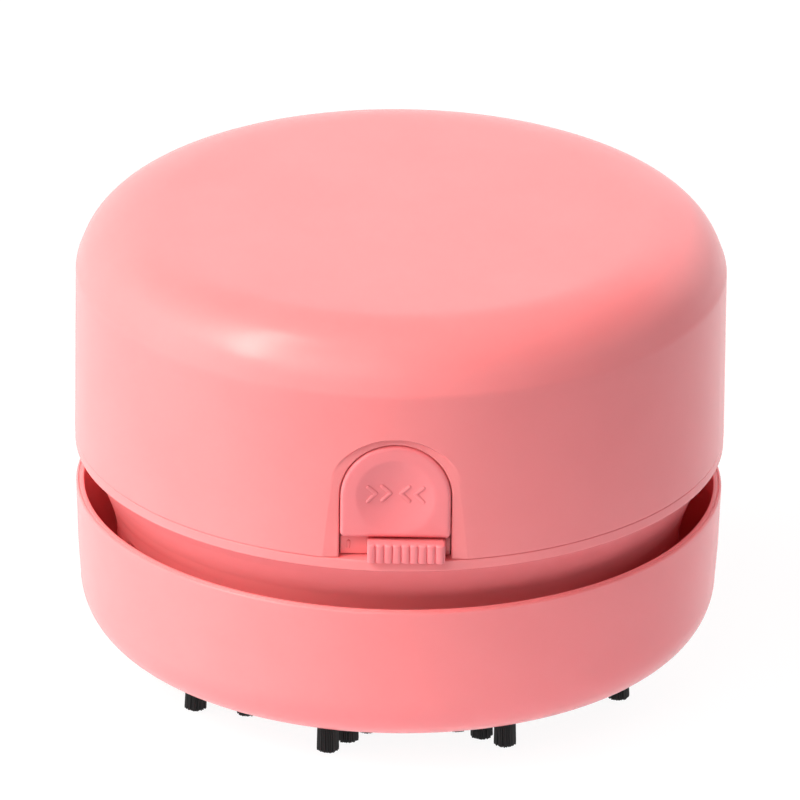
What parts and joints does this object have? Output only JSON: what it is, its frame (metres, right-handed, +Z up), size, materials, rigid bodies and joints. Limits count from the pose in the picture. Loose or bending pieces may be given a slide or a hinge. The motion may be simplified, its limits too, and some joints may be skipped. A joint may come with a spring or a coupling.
{
  "type": "desktop mini vacuum cleaner",
  "caption": "Round battery desk vacuum: domed cover, release button, slide switch, motor and fan over a lift-off dust bowl with bristle tufts.",
  "frame": {"origin": "on the axis of the round body, at the tips of the bristles", "axes": "+Z up along the axis, -Y towards the button and the slider, +X to the right seen from the button"},
  "size_m": [0.086, 0.0871, 0.0641],
  "materials": {
    "pink_abs": "satin",
    "button_abs": "satin",
    "bristle_nylon": "matt",
    "white_plastic": "satin",
    "black_plastic": "satin",
    "black_rubber": "matt",
    "zinc_steel": "zinc plated",
    "brass": "bright",
    "cell_jacket": "gloss",
    "filter_cloth": "non-woven"
  },
  "bodies": {
    "bowl": {"outer_bowl": "pink_abs", "dust_cup": "pink_abs", "bristle_tufts": "bristle_nylon"},
    "chassis": {"main_housing": "pink_abs", "control_frame": "pink_abs", "fan_cover": "white_plastic", "seal_ring": "black_rubber", "battery_trays": "black_plastic", "battery_left": "cell_jacket", "battery_right": "cell_jacket", "contact_springs": "zinc_steel", "contact_plates": "zinc_steel", "slide_switch": "zinc_steel", "motor_can": "zinc_steel", "motor_end_cap": "white_plastic", "motor_terminals": "brass", "motor_screws": "zinc_steel", "pan_screws": "zinc_steel", "button_spring": "zinc_steel"},
    "cover": {"top_cover": "pink_abs"},
    "button": {"push_button": "button_abs", "release_latch": "button_abs"},
    "slider": {"slider_knob": "button_abs", "switch_lever": "black_plastic"},
    "rotor": {"motor_shaft": "zinc_steel", "impeller": "white_plastic"},
    "filter": {"filter_frame": "white_plastic", "filter_pad": "filter_cloth"}
  },
  "joints": [
    {"name": "unit_lift", "type": "slide", "parent": "bowl", "child": "chassis", "axis": [0, 0, 1], "range_m": [0, 0.04]},
    {"name": "cover_lift", "type": "slide", "parent": "chassis", "child": "cover", "axis": [0, 0, 1], "range_m": [0, 0.03]},
    {"name": "button_press", "type": "slide", "parent": "chassis", "child": "button", "axis": [0, 1, 0], "range_m": [0, 0.002], "stiffness_N_per_m": 400, "springref_m": -0.001, "deforming": ["button_spring"]},
    {"name": "slider_slide", "type": "slide", "parent": "chassis", "child": "slider", "axis": [-1, 0, 0], "range_m": [0, 0.0031]},
    {"name": "fan_spin", "type": "hinge", "parent": "chassis", "child": "rotor", "pos_m": [0, 0, 0.025], "axis": [0, 0, 1], "continuous": true},
    {"name": "filter_twist", "type": "hinge", "parent": "chassis", "child": "filter", "pos_m": [0, 0, 0.014], "axis": [0, 0, 1], "range_deg": [0, 20]}
  ]
}
